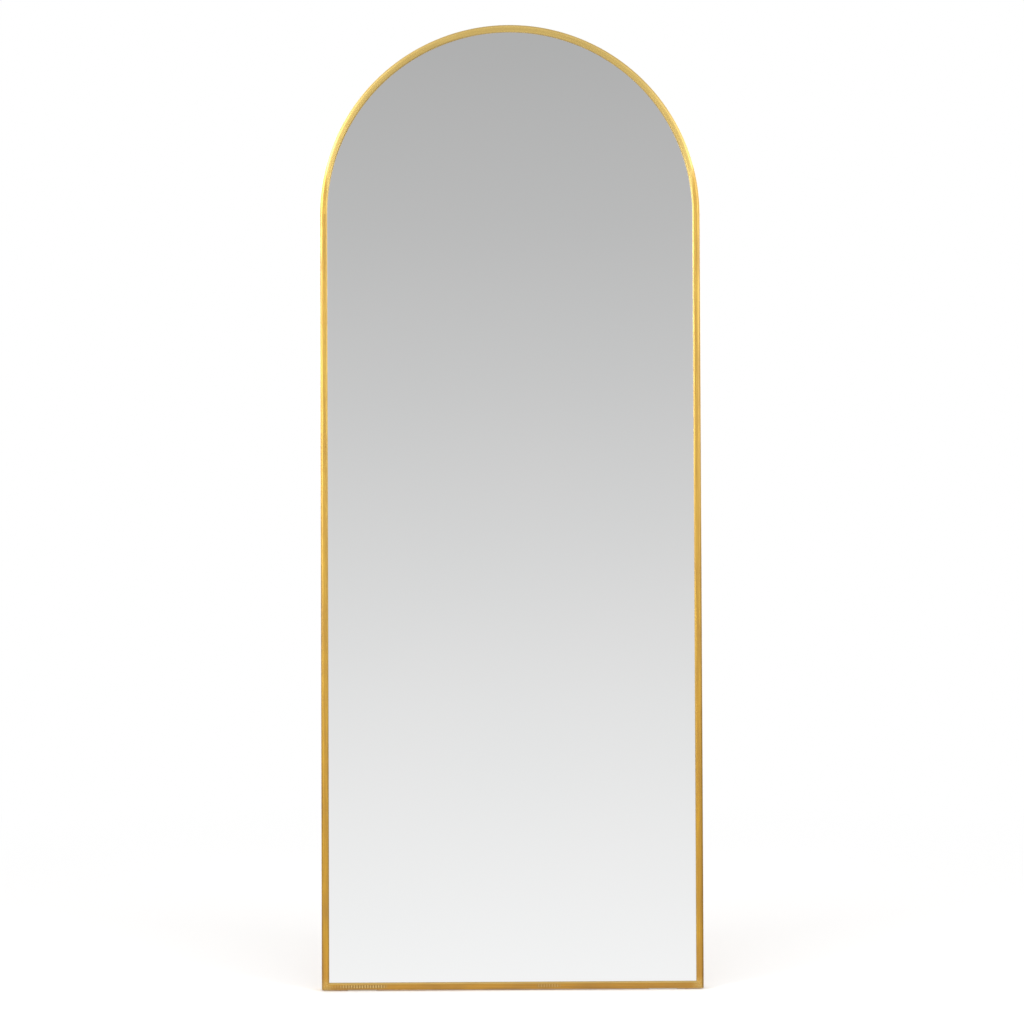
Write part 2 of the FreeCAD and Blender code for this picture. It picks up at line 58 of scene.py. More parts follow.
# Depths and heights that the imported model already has.
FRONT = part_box("frame_arch")[0].y
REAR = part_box("frame_arch")[1].y
HALF_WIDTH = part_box("frame_arch")[1].x
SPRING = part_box("frame_arch")[0].z
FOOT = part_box("bottom_rail")[0].z
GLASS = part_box("mirror_pane")
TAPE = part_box("lip_tape")
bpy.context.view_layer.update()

MM = 0.001
WHITE = (1, 1, 1, 1)

# Points closer together than this are one point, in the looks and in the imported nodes.
SAME_POINT = 0.0001 * MM
SAME_PACKED_POINT = 0.001 * MM

# Degrees between two faces: under the first they are one flat face, over the second the edge between them is
# shaded sharp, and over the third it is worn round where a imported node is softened.
FLAT_ANGLE, SHARP_ANGLE, WORN_ANGLE = 1, 28, 40

# A ramp of greys gives no more than 1, so what is brighter is drawn as a share of this.
BRIGHTEST = 2.5


def linear(tone):
    """A colour written as sRGB hex, such as "#B98D3B", in the linear values that Blender works in."""
    channels = [int(tone[i : i + 2], 16) / 255 for i in (1, 3, 5)]
    return tuple(c / 12.92 if c <= 0.04045 else ((c + 0.055) / 1.055) ** 2.4 for c in channels)


def length(name, description, metres):
    return FloatProperty(
        name=name, description=description, default=metres, min=0, unit="LENGTH", precision=5
    )


def colour(name, description, value):
    return FloatVectorProperty(
        name=name, description=description, default=linear(value), subtype="COLOR", min=0, max=1
    )


def position(name, description, metres):
    return FloatVectorProperty(
        name=name, description=description, default=metres, subtype="TRANSLATION", unit="LENGTH"
    )


class MIRROR_PG_frame(bpy.types.PropertyGroup):
    """Sizes and tones of the brass frame."""

    face_width: length("Face", "Width of the frame's front face", 0.015)
    lip_width: length("Lip", "How far the front lip stands inwards of the leg", 0.005)
    lip_thickness: length("Lip thickness", "Front lip, from the front face to the rebate", 0.003)
    outer_rounding: length("Outer rounding", "Rounding of the outer front edge", 0.0055)
    inner_rounding: length("Inner rounding", "Rounding of the lip's front edge", 0.0025)
    rear_rounding: length("Rear rounding", "Rounding of the two rear edges", 0.0015)
    tape_gap: length("Tape gap", "Foam tape to the leg", 0.0005)
    tape_width: length("Tape width", "Foam tape under the lip", 0.0035)
    arch_steps: IntProperty(name="Arch steps", description="Straight runs in the arch", default=160, min=16)
    corner_steps: IntProperty(name="Corner steps", description="Straight runs in a corner", default=6, min=1)
    seam_bevel: length("Seam bevel", "Worn edge of a member where it meets the next one", 0.00015)
    face_crown: length("Crown", "How much the middle of the front face stands out from its edges", 0.0006)
    scratch_depth: length("Scratches", "Depth of the brushed streaks", 0.0000175)
    cloud_size: length("Clouds", "Size of the patina's clouds", 0.045)
    ground_radius: length("Ground mitre", "Radius of the patch that is ground bright at a mitre", 0.020)
    tick_pitch: length("Chatter", "One tick of the grinder's chatter to the next", 0.0054)
    # Painted light and shade: the upper tone is painted lighter, and the foot and rail tones deeper and
    # redder, for side lights that fall weaker low down.
    upper_tone_painted_light: colour("Upper brass", "Brass of the arch and of the stiles' upper ends", "#E0B853")
    foot_tone_painted_shade: colour("Foot brass", "Deeper brass towards the stiles' lower ends", "#E2AC2C")
    rail_tone_painted_shade: colour("Lower brass", "Redder brass of the rail", "#E0A434")
    patina_tone: colour("Patina", "Brown patina that lies in soft clouds on the brass", "#A97938")
    # Besides the ground mitres, this tone paints the highlights on the rail's chatter and brightens the
    # rail's upper edge.
    polish_and_glint_tone: colour("Polished brass", "Brass that was ground or rubbed bright", "#F2D27C")


class MIRROR_PG_back(bpy.types.PropertyGroup):
    """Sizes and tones of what is fitted behind the glass."""

    edge_bevel: length("Pressed edge", "Rounded edges of pressed steel pieces", 0.0002)
    head_radius: length("Screw head", "Radius of a screw's head at its seat", 0.00345)
    head_top: length("Screw head top", "Radius of a screw's head where its dome begins", 0.0026)
    head_height: length("Screw head height", "Height of a screw's head", 0.0021)
    recess_width: length("Recess width", "Width of one arm of a screw's cross recess", 0.0008)
    recess_length: length("Recess length", "Length of a screw's cross recess, end to end", 0.0036)
    recess_depth: length("Recess depth", "Depth of a screw's cross recess", 0.0012)
    shank_radius: length("Screw shank", "Radius of a screw's shank", 0.00175)
    point_length: length("Screw point", "Length of a screw's point", 0.0025)
    wire_radius: length("Ring wire", "Radius of a hanger ring's wire", 0.00175)
    ring_half_width: length("Ring", "Middle of a hanger ring to the middle of its wire", 0.012)
    ring_corner: length("Ring corner", "Rounded corners of a hanger ring's bar", 0.003)
    ring_leg: length("Ring leg", "Straight side of a hanger ring", 0.004)
    bumper_rounding: length("Bumper rounding", "Rounded rim of a rubber bumper's face", 0.0008)
    board_tone: colour("Board", "Raw fibreboard", "#B5946C")
    fibre_tone: colour("Fibres", "Dark fibres in the board", "#7C5A38")
    zinc_tone: colour("Zinc", "Bright zinc plating", "#C3C6CA")
    nickel_tone: colour("Nickel", "Nickel plating", "#C4BCB0")


class MIRROR_PG_stage(bpy.types.PropertyGroup):
    """Floor, light and camera."""

    floor_size: length("Floor", "Side of the square floor", 60.0)
    floor_tone: colour("Floor tone", "Pale floor", "#F4F4F4")
    fade_start: length("Fade start", "Distance from the middle where the floor starts to fade to white", 1.0)
    fade_end: length("Fade end", "Distance from the middle where the camera sees the floor white", 3.0)
    softbox_width: length("Softbox width", "Width of each of the two softboxes", 1.2)
    softbox_height: length("Softbox height", "Height of each softbox", 2.2)
    softbox_power: FloatProperty(
        name="Softbox power", description="Power of each softbox", default=45, min=0, unit="POWER"
    )
    softbox_place: position("Softbox", "Place of the right softbox, mirrored on the left", (2.6, -2.0, 1.9))
    softbox_aim: position("Softbox aim", "Point that both softboxes face", (0, 0, 0.9))
    sensor: FloatProperty(name="Sensor", description="Width of the camera's sensor, mm", default=36, min=1)
    lens: FloatProperty(name="Lens", description="Focal length of the camera, mm", default=70.9, min=1)
    camera_reach: length("Camera reach", "Farthest distance that the camera sees", 200)
    camera_place: position("Camera", "Place of the camera", (-0.0329, FRONT - 4.030, 0.8980))
    camera_turn: FloatVectorProperty(
        name="Camera turn",
        description="Pitch up, roll and turn to the left of a camera that looks along +Y",
        default=tuple(math.radians(a) for a in (0.785, 0.225, -0.490)),
        subtype="EULER",
    )


# Radiance of the studio by the height of a direction's unit vector: what the mirror sees ahead of it, which
# darkens upwards as far as the camera sees it there, and the tall soft lights beside it.
AHEAD = (
    (-1.0, 0.70), (-0.40, 0.75), (-0.28, 0.90), (-0.213, 0.955), (-0.133, 0.865), (-0.084, 0.81),
    (0.0095, 0.686), (0.0738, 0.608), (0.154, 0.523), (0.241, 0.457), (0.32, 0.55), (0.45, 1.00),
    (0.62, 1.05), (0.80, 0.75), (1.0, 0.60),
)
BESIDE = (
    (-1.0, 0.60), (-0.35, 0.75), (-0.20, 0.88), (-0.128, 0.92), (-0.084, 1.05), (-0.03, 1.38),
    (0.02, 1.85), (0.069, 2.05), (0.118, 2.15), (0.17, 2.40), (0.30, 2.40), (0.48, 1.70), (0.75, 0.90),
)


# ---- Nodes

# Settings that many nodes share: a ramp that eases in and out, and a mix of two colours.
EASED = {"interpolation_type": "SMOOTHSTEP"}
COLOURS = {"data_type": "RGBA"}


def fill(node, inputs):
    """Fills a node's inputs, by name or in order, from values, sockets or other nodes' first outputs."""
    if isinstance(inputs, dict):
        pairs = [(node.inputs[name], value) for name, value in inputs.items()]
    else:
        pairs = zip((socket for socket in node.inputs if socket.enabled), inputs)
    for socket, value in pairs:
        if isinstance(value, bpy.types.Node):
            value = next(output for output in value.outputs if output.enabled)
        if isinstance(value, bpy.types.NodeSocket):
            node.id_data.links.new(value, socket)
        else:
            socket.default_value = value


def add_node(tree, kind, inputs=(), **settings):
    """Adds a node with its settings and links."""
    node = tree.nodes.new(kind)
    for name, value in settings.items():
        setattr(node, name, value)
    fill(node, inputs)
    return node


def new_tree(name, sockets):
    """An empty geometry tree with its named inputs, its group's input and output, and what adds its nodes."""
    tree = bpy.data.node_groups.new(name, "GeometryNodeTree")
    tree.interface.new_socket("Geometry", in_out="INPUT", socket_type="NodeSocketGeometry")
    for label, kind in sockets.items():
        tree.interface.new_socket(label, in_out="INPUT", socket_type=f"NodeSocket{kind}")
    tree.interface.new_socket("Geometry", in_out="OUTPUT", socket_type="NodeSocketGeometry")
    add = partial(add_node, tree)
    return tree, add("NodeGroupInput").outputs, add("NodeGroupOutput"), add


def sweep_tree():
    """Sweeps the outline that it is given along a path, in the plane of the path, and notes on each corner
    how far along the path and round the outline it is, in metres, as the UV map "brush"."""
    sockets = {"Path": "Object", "Closed path": "Bool", "Place": "Vector", "Material": "Material"}
    tree, given, result, add = new_tree("sweep_outline", sockets)
    measure = add("GeometryNodeSplineParameter").outputs["Length"]
    path = add("GeometryNodeObjectInfo", {"Object": given["Path"]}).outputs["Geometry"]
    lengths = []
    curves = []
    for source, closed in ((given["Geometry"], True), (path, given["Closed path"])):
        line = add("GeometryNodeMeshToCurve", (source,))
        loop = add("GeometryNodeSetSplineCyclic", {"Geometry": line, "Cyclic": closed})
        noted = add("GeometryNodeCaptureAttribute", {"Geometry": loop})
        noted.capture_items.new("FLOAT", "Length")
        fill(noted, {"Length": measure})
        lengths.append(noted.outputs["Length"])
        curves.append(noted)
    upright = add("GeometryNodeSetCurveNormal", (curves[1],), mode="Z_UP")
    swept = add("GeometryNodeCurveToMesh", {"Curve": upright, "Profile Curve": curves[0], "Fill Caps": True})
    uv = add("ShaderNodeCombineXYZ", (lengths[1], lengths[0]))
    mapped = add(
        "GeometryNodeStoreNamedAttribute",
        {"Geometry": swept, "Name": "brush", "Value": uv},
        data_type="FLOAT2",
        domain="CORNER",
    )
    stood = {"Geometry": mapped, "Translation": given["Place"], "Rotation": (math.pi / 2, 0, 0)}
    real = add("GeometryNodeRealizeInstances", (add("GeometryNodeTransform", stood),))
    fill(result, (add("GeometryNodeSetMaterial", {"Geometry": real, "Material": given["Material"]}),))
    return tree


def copies_tree():
    """Puts a copy of one piece on each point that it is given, turned about +Y by a random angle."""
    sockets = {"Piece": "Object", "Most turn": "Float", "Seed": "Int", "Material": "Material"}
    tree, given, result, add = new_tree("copies_on_points", sockets)
    piece = add("GeometryNodeObjectInfo", {"Object": given["Piece"]}).outputs["Geometry"]
    limits = {2: 0.0, 3: given["Most turn"], "Seed": given["Seed"]}
    turn = add("FunctionNodeRandomValue", limits, data_type="FLOAT")
    about_y = add("ShaderNodeCombineXYZ", {"Y": turn})
    placed = {"Points": given["Geometry"], "Instance": piece, "Rotation": about_y}
    real = add("GeometryNodeRealizeInstances", (add("GeometryNodeInstanceOnPoints", placed),))
    fill(result, (add("GeometryNodeSetMaterial", {"Geometry": real, "Material": given["Material"]}),))
    return tree


# ---- Meshes


def new_object(name, points=(), edges=(), faces=()):
    mesh = bpy.data.meshes.new(name)
    mesh.from_pydata([tuple(p) for p in points], edges, faces)
    piece = bpy.data.objects.new(name, mesh)
    bpy.context.scene.collection.objects.link(piece)
    return piece


def line_object(name, points, closed):
    """A run of edges through flat points, as an outline or a path for the sweep."""
    last = len(points)
    edges = [(i, i + 1) for i in range(last - 1)]
    if closed:
        edges.append((last - 1, 0))
    return new_object(name, [(x, y, 0) for x, y in points], edges)


def rounded(corners, steps):
    """A closed outline from corners (x, y, radius), with each radius drawn as that many straight runs."""
    points = []
    for index, (x, y, radius) in enumerate(corners):
        corner = Vector((x, y))
        if not radius:
            points.append(corner)
            continue
        back = (Vector(corners[index - 1][:2]) - corner).normalized()
        on = (Vector(corners[(index + 1) % len(corners)][:2]) - corner).normalized()
        half = back.angle(on) / 2
        centre = corner + (back + on).normalized() * radius / math.sin(half)
        start, end = (corner + way * radius / math.tan(half) - centre for way in (back, on))
        turn = start.angle_signed(end)
        for step in range(steps + 1):
            points.append(centre + Matrix.Rotation(-turn * step / steps, 2) @ start)
    return points


def arc(centre, radius, start, end, steps):
    """Points from one angle to another, in degrees, about a centre."""
    angles = (math.radians(start + (end - start) * step / steps) for step in range(steps + 1))
    return [Vector(centre) + radius * Vector((math.cos(a), math.sin(a))) for a in angles]


def bake(piece):
    """Turns what the modifiers make into the piece's own mesh, with its faces outwards."""
    depsgraph = bpy.context.evaluated_depsgraph_get()
    mesh = bpy.data.meshes.new_from_object(piece.evaluated_get(depsgraph), depsgraph=depsgraph)
    piece.modifiers.clear()
    piece.data = mesh
    shell = bmesh.new()
    shell.from_mesh(mesh)
    bmesh.ops.remove_doubles(shell, verts=shell.verts, dist=SAME_POINT)
    bmesh.ops.recalc_face_normals(shell, faces=shell.faces)
    shell.to_mesh(mesh)
    shell.free()
    mesh.shade_smooth()
    mesh.set_sharp_from_angle(angle=math.radians(SHARP_ANGLE))
    # The shading of flat faces stays flat beside a rounded edge.
    piece.modifiers.new("flat_faces", "WEIGHTED_NORMAL").keep_sharp = True
    depsgraph = bpy.context.evaluated_depsgraph_get()
    piece.data = bpy.data.meshes.new_from_object(piece.evaluated_get(depsgraph), depsgraph=depsgraph)
    piece.modifiers.clear()
    return piece


def run_tree(piece, tree, inputs):
    """Runs a geometry tree on a piece, with its inputs given by name, and bakes what comes out."""
    modifier = piece.modifiers.new(tree.name, "NODES")
    modifier.node_group = tree
    sockets = {item.name: item.identifier for item in tree.interface.items_tree if item.in_out == "INPUT"}
    for name, value in inputs.items():
        modifier[sockets[name]] = value
    return bake(piece)


def sweep(name, outline, path, closed, place, material):
    """A piece of one section that follows a path drawn in the plane of the glass, moved to its place."""
    piece = line_object(name, outline, True)
    guide = line_object(f"{name}_path", path, closed)
    tree = bpy.data.node_groups.get("sweep_outline") or sweep_tree()
    run_tree(piece, tree, {"Path": guide, "Closed path": closed, "Place": place, "Material": material})
    bpy.data.objects.remove(guide)
    return piece


def copies(name, places, model, most_turn, seed, material):
    """Copies of one model at the given places, each turned about +Y by a random angle up to the most turn."""
    piece = new_object(name, places)
    tree = bpy.data.node_groups.get("copies_on_points") or copies_tree()
    run_tree(piece, tree, {"Piece": model, "Most turn": most_turn, "Seed": seed, "Material": material})
    bpy.data.objects.remove(model)
    return piece


def softened(node, bevel, material):
    """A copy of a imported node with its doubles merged, its flat faces joined and its edges worn round."""
    piece = bpy.data.objects.new(f"{node}_worn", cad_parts[node].data.copy())
    bpy.context.scene.collection.objects.link(piece)
    shell = bmesh.new()
    shell.from_mesh(piece.data)
    bmesh.ops.remove_doubles(shell, verts=shell.verts, dist=SAME_PACKED_POINT)
    flat = math.radians(FLAT_ANGLE)
    bmesh.ops.dissolve_limit(shell, angle_limit=flat, verts=shell.verts, edges=shell.edges)
    shell.to_mesh(piece.data)
    shell.free()
    edge = piece.modifiers.new("worn_edges", "BEVEL")
    edge.width = bevel
    edge.segments = 2
    edge.limit_method = "ANGLE"
    edge.angle_limit = math.radians(WORN_ANGLE)
    bake(piece)
    piece.data.materials.clear()
    piece.data.materials.append(material)
    return piece


def separate_solids(node):
    """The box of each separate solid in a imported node, as (lowest corner, highest corner)."""
    shell = bmesh.new()
    shell.from_mesh(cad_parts[node].data)
    bmesh.ops.remove_doubles(shell, verts=shell.verts, dist=SAME_PACKED_POINT)
    # A dict keeps the order of its keys, so the solids come in the same order in every run.
    left = dict.fromkeys(shell.verts)
    boxes = []
    while left:
        found = [left.popitem()[0]]
        for vert in found:
            for edge in vert.link_edges:
                other = edge.other_vert(vert)
                if other in left:
                    del left[other]
                    found.append(other)
        boxes.append(tuple(Vector(f(v.co[i] for v in found) for i in range(3)) for f in (min, max)))
    shell.free()
    return boxes


def turned(name, profile, steps):
    """A piece turned about +Y from a profile of (radius, y) that starts and ends on the axis."""
    points = []
    faces = []
    rings = []
    for radius, y in profile:
        if radius == 0:
            rings.append([len(points)])
            points.append((0, y, 0))
            continue
        angles = [2 * math.pi * step / steps for step in range(steps)]
        rings.append([len(points) + step for step in range(steps)])
        points.extend((radius * math.cos(a), y, radius * math.sin(a)) for a in angles)
    for near, far in zip(rings, rings[1:]):
        for step in range(steps):
            following = (step + 1) % steps
            corners = [near[step % len(near)], near[following % len(near)]]
            corners += [far[following % len(far)], far[step % len(far)]]
            faces.append(list(dict.fromkeys(corners)))
    return new_object(name, points, [], faces)


def add_brush_map(piece, along):
    """Gives a straight member the UV map "brush", in metres: along its axis (0 is X, 2 is Z) and round it."""
    mesh = piece.data
    layer = mesh.uv_layers.new(name="brush")
    across = 2 - along
    for loop in mesh.loops:
        point = mesh.vertices[loop.vertex_index].co
        layer.data[loop.index].uv = (point[along], point[across] + point.y)


def settle(piece, slot, *nodes, body="mirror"):
    """Rides a finished piece on its body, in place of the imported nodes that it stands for."""
    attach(piece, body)
    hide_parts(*nodes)


def dress(material, *nodes):
    """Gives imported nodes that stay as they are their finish."""
    for node in nodes:
        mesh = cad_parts[node].data
        mesh.materials.clear()
        mesh.materials.append(material)


# ---- Materials


def new_material(name, **constants):
    """A material, its shader with constants set on the shader's own sockets, what adds its nodes, and the
    object's own coordinates."""
    material = bpy.data.materials.new(name)
    material.use_nodes = True
    shader = material.node_tree.nodes["Principled BSDF"]
    for label, value in constants.items():
        shader.inputs[label.replace("_", " ")].default_value = value
    add = partial(add_node, material.node_tree)
    return material, shader, add, add("ShaderNodeTexCoord").outputs["Object"]


def rgba(tone):
    return (*tone[:3], 1)


def limited(add, value, *limits):
    """A value times one eased ramp after another, each given as what a map range takes in order."""
    for limit in limits:
        share = add("ShaderNodeMapRange", limit, **EASED)
        value = add("ShaderNodeMath", (value, share), operation="MULTIPLY")
    return value


def brushed_brass(tones):
    """Brass-plated steel tube, brushed lengthwise, aged and lacquered: long streaks that follow each member
    and draw its highlights out sideways, soft brown clouds, mitres ground brighter, chatter on the rail with
    painted highlights, and painted light and shade that make the tone lighter upwards and deeper at the foot."""
    material, shader, add, place = new_material(
        "brushed_antique_brass",
        Metallic=1.0,
        Anisotropic=0.75,
        Anisotropic_Rotation=0.25,
        Coat_Weight=0.8,
        Coat_Roughness=0.2,
    )
    patina, glint_and_polish = rgba(tones.patina_tone), rgba(tones.polish_and_glint_tone)
    half_face = tones.face_width / 2
    x, y, z = add("ShaderNodeSeparateXYZ", (place,)).outputs
    brush = add("ShaderNodeUVMap", uv_map="brush")

    # How far a point is inwards of the frame's outline, for what follows all the members alike.
    sideways = add("ShaderNodeMath", (x,), operation="ABSOLUTE")
    above = add("ShaderNodeMath", (z, SPRING), operation="SUBTRACT")
    above = add("ShaderNodeMath", (above, 0.0), operation="MAXIMUM")
    from_centre = add("ShaderNodeCombineXYZ", (x, above))
    radius = add("ShaderNodeVectorMath", (from_centre,), operation="LENGTH")
    reach = add("ShaderNodeMath", (radius, sideways), operation="MAXIMUM")
    from_side = add("ShaderNodeMath", (HALF_WIDTH, reach), operation="SUBTRACT")
    from_foot = add("ShaderNodeMath", (z, FOOT), operation="SUBTRACT")
    inwards = add("ShaderNodeMath", (from_side, from_foot), operation="MINIMUM")

    # Noise drawn out along the brushing, so long and so wide. Real scratches are under 0.1 mm wide, and are
    # drawn 1.1 mm wide so that they show. Between them are the hairs of a cloth, 12 mm long and 0.5 mm wide,
    # and over them broad bands where the belt bit less.
    brushed = []
    for long, wide, detail, rough in (
        (0.07, 0.0011, 3.0, 0.62),
        (0.012, 0.0005, 2.0, 0.5),
        (0.13, 0.004, 1.0, 0.5),
    ):
        grain = add("ShaderNodeMapping", {"Vector": brush, "Scale": (long, wide, 1)}, vector_type="TEXTURE")
        brushed.append(add("ShaderNodeTexNoise", (grain, 1.0, detail, rough)))
    streaks, hairs, bands = brushed

    # The tone is deeper towards the foot, and redder on the rail.
    # Painted light and shade over the brass's own tone: lighter up the stiles, deeper at the foot and on the
    # rail, where the side lights fall weaker.
    painted_light_upward = add("ShaderNodeMapRange", (z, 0.1, 1.4), **EASED)
    stile = add("ShaderNodeMix", (painted_light_upward, rgba(tones.foot_tone_painted_shade), rgba(tones.upper_tone_painted_light)), **COLOURS)
    rail_shade_fade = add("ShaderNodeMapRange", (z, 0.01, 0.12), **EASED)
    brass = add("ShaderNodeMix", (rail_shade_fade, rgba(tones.rail_tone_painted_shade), stile), **COLOURS)

    # Patina lies in clouds, in the bands and between the streaks.
    clouds = add("ShaderNodeTexNoise", (place, 1 / tones.cloud_size, 4.0))
    clouds = add("ShaderNodeMapRange", (clouds, 0.42, 0.72, 0.0, 0.22), **EASED)
    in_bands = add("ShaderNodeMapRange", (bands, 0.35, 0.65, 0.0, 0.38), **EASED)
    in_streaks = add("ShaderNodeMapRange", (streaks, 0.35, 0.7, 0.0, 0.3), **EASED)

    # The mitres were welded and ground: a mottled brighter patch at each bottom corner.
    off_x = add("ShaderNodeMath", (sideways, HALF_WIDTH - half_face), operation="SUBTRACT")
    off_z = add("ShaderNodeMath", (z, FOOT + half_face), operation="SUBTRACT")
    off_mitre = add("ShaderNodeCombineXYZ", (off_x, off_z))
    from_mitre = add("ShaderNodeVectorMath", (off_mitre,), operation="LENGTH")
    near = add("ShaderNodeMapRange", (from_mitre, tones.ground_radius, 0.004), **EASED)
    mottles = add("ShaderNodeTexNoise", (place, 1 / 0.003, 4.0, 0.7))
    ground = limited(add, near, (mottles, 0.3, 0.75))

    # Chatter: grinder marks on two stretches of the rail's front face, drawn as bright upright ticks over
    # dull gaps, where the bright ticks are painted highlights. The second stretch is half as plain.
    stretches = []
    for start, full, fade, end, most in (
        (-0.375, -0.315, -0.262, -0.246, 1.0),
        (0.044, 0.054, 0.088, 0.098, 0.5),
    ):
        begun = add("ShaderNodeMapRange", (x, start, full, 0.0, most), **EASED)
        stretches.append(limited(add, begun, (x, end, fade)))
    stretch = add("ShaderNodeMath", stretches, operation="ADD")
    from_line = add("ShaderNodeMath", (off_z, 0.0005), operation="SUBTRACT")
    from_line = add("ShaderNodeMath", (from_line,), operation="ABSOLUTE")
    stretch = limited(add, stretch, (from_line, 0.0044, 0.0018), (y, FRONT + 0.004, FRONT + 0.002))
    to_gap = add("ShaderNodeMath", (x, tones.tick_pitch / 2), operation="PINGPONG")
    uneven = add("ShaderNodeTexNoise", (place, 1 / 0.0035, 3.0))
    chatter = limited(add, stretch, (to_gap, 0.0004, 0.0024), (uneven, 0.25, 0.6, 0.35, 1.0))

    # The rail's upper edge is brighter over its last 3 mm.
    rubbed = add("ShaderNodeMapRange", (streaks, 0.3, 0.7, 0.9, 0.5), **EASED)
    rubbed = limited(add, rubbed, (off_z, 0.004, 0.0062), (sideways, 0.369, 0.364))

    # Each layer covers so much of what lies under it.
    layers = (
        (clouds, 1.0, patina),
        (in_bands, 1.0, patina),
        (in_streaks, 1.0, patina),
        (ground, 0.8, glint_and_polish),
        (stretch, 0.85, patina),
        # The bright chatter ticks are painted highlights.
        (chatter, 0.95, glint_and_polish),
        (rubbed, 1.0, glint_and_polish),
    )
    for cover, share, tone in layers:
        amount = add("ShaderNodeMath", (cover, share), operation="MULTIPLY")
        brass = add("ShaderNodeMix", (amount, brass, tone), **COLOURS)

    streak_rough = add("ShaderNodeMapRange", (streaks, 0.3, 0.7, 0.27, 0.34), **EASED)
    cloud_rough = add("ShaderNodeMapRange", (clouds, 0.0, 0.22, 0.0, 0.05), **EASED)
    rough = add("ShaderNodeMath", (streak_rough, cloud_rough), operation="ADD")
    rough = add("ShaderNodeMath", (ground, -0.08, rough), operation="MULTIPLY_ADD")

    # The tube's face is rolled with a slight crown, which the highlights along its two edges show.
    scratches = add("ShaderNodeMath", (hairs, 0.4, streaks), operation="MULTIPLY_ADD")
    scratches = add("ShaderNodeMath", (chatter, -0.8, scratches), operation="MULTIPLY_ADD")
    from_middle = add("ShaderNodeMath", (inwards, half_face), operation="SUBTRACT")
    from_middle = add("ShaderNodeMath", (from_middle, half_face), operation="DIVIDE")
    crown = add("ShaderNodeMath", (from_middle, from_middle), operation="MULTIPLY")
    crown = add("ShaderNodeMath", (crown, -tones.face_crown), operation="MULTIPLY")
    height = add("ShaderNodeMath", (scratches, tones.scratch_depth, crown), operation="MULTIPLY_ADD")
    relief = add("ShaderNodeBump", {"Height": height, "Distance": 1.0})
    lengthwise = add("ShaderNodeTangent", direction_type="UV_MAP", uv_map="brush")
    fill(shader, {"Base Color": brass, "Roughness": rough, "Normal": relief, "Tangent": lengthwise})
    return material


def silvering():
    """Silvered float glass seen from the front: a clean mirror that takes hardly any light away."""
    material, shader, add, place = new_material("silvered_glass", Metallic=1.0, Roughness=0.0)
    # Glass bends a reflection by far less than 0.1 mm over a palm's width, so only its tone varies here.
    waves = add("ShaderNodeTexNoise", (place, 1 / 0.3, 0.0))
    tone = add("ShaderNodeMix", (waves, rgba(linear("#F7F8F8")), rgba(linear("#F9F9F9"))), **COLOURS)
    fill(shader, {"Base Color": tone})
    return material


def grained(name, first, second, grain, relief, **constants):
    """Two close tones over a fine even grain, so many mm wide and high."""
    material, shader, add, place = new_material(name, **constants)
    cells = add("ShaderNodeTexNoise", (place, 1 / (grain * MM)))
    tone = add("ShaderNodeMix", (cells, rgba(linear(first)), rgba(linear(second))), **COLOURS)
    raised = add("ShaderNodeBump", {"Height": cells, "Distance": relief * MM})
    fill(shader, {"Base Color": tone, "Normal": raised})
    return material


def raw_fibreboard(tones):
    """Pressed wood fibre, sanded and bare: tan with short dark fibres, and browner where it was sawn."""
    material, shader, add, place = new_material("raw_fibreboard", Roughness=0.82)
    # Fibres are about 0.1 mm by 3 mm. They are drawn 1.2 mm by 7 mm, in three directions, so that they show.
    size = (0.0012, 0.0012, 0.007)
    dark = 0.0
    for turn in (0.2, 1.3, 2.4):
        lie = {"Vector": place, "Rotation": (0, turn, 0), "Scale": size}
        fibres = add("ShaderNodeMapping", lie, vector_type="TEXTURE")
        fibres = add("ShaderNodeTexNoise", (fibres, 1.0, 3.0))
        fibres = add("ShaderNodeMapRange", (fibres, 0.54, 0.76), **EASED)
        dark = add("ShaderNodeMath", (dark, fibres), operation="MAXIMUM")
    blotches = add("ShaderNodeTexNoise", (place, 1 / 0.12, 3.0))
    wood = add("ShaderNodeMix", (blotches, rgba(tones.board_tone), rgba(linear("#A98761"))), **COLOURS)
    fibrous = add("ShaderNodeMath", (dark, 0.45), operation="MULTIPLY")
    normal = add("ShaderNodeNewGeometry").outputs["Normal"]
    facing = add("ShaderNodeSeparateXYZ", (normal,)).outputs["Y"]
    facing = add("ShaderNodeMath", (facing,), operation="ABSOLUTE")
    sawn = add("ShaderNodeMapRange", (facing, 0.6, 0.4, 0.0, 0.55), **EASED)
    for amount in (fibrous, sawn):
        wood = add("ShaderNodeMix", (amount, wood, rgba(tones.fibre_tone)), **COLOURS)
    relief = add("ShaderNodeBump", {"Height": dark, "Distance": 0.06 * MM, "Strength": 0.6})
    fill(shader, {"Base Color": wood, "Normal": relief})
    return material


def plated_steel(name, tone, dull, roughness, spread):
    """Electroplated steel: a plain metal with soft clouds where the plating is thinner, and roller marks."""
    material, shader, add, place = new_material(name, Metallic=1.0)
    clouds = add("ShaderNodeTexNoise", (place, 1 / 0.006, 3.0))
    thin = add("ShaderNodeMapRange", (clouds, 0.35, 0.65), **EASED)
    metal = add("ShaderNodeMix", (thin, rgba(tone), rgba(linear(dull))), **COLOURS)
    marks = add("ShaderNodeTexNoise", (place, 1 / 0.0009))
    uneven = add("ShaderNodeMath", (clouds, marks), operation="ADD")
    rough = add("ShaderNodeMapRange", (uneven, 0.7, 1.3, roughness, roughness + spread), **EASED)
    relief = add("ShaderNodeBump", {"Height": marks, "Distance": 0.01 * MM, "Strength": 0.5})
    fill(shader, {"Base Color": metal, "Roughness": rough, "Normal": relief})
    return material


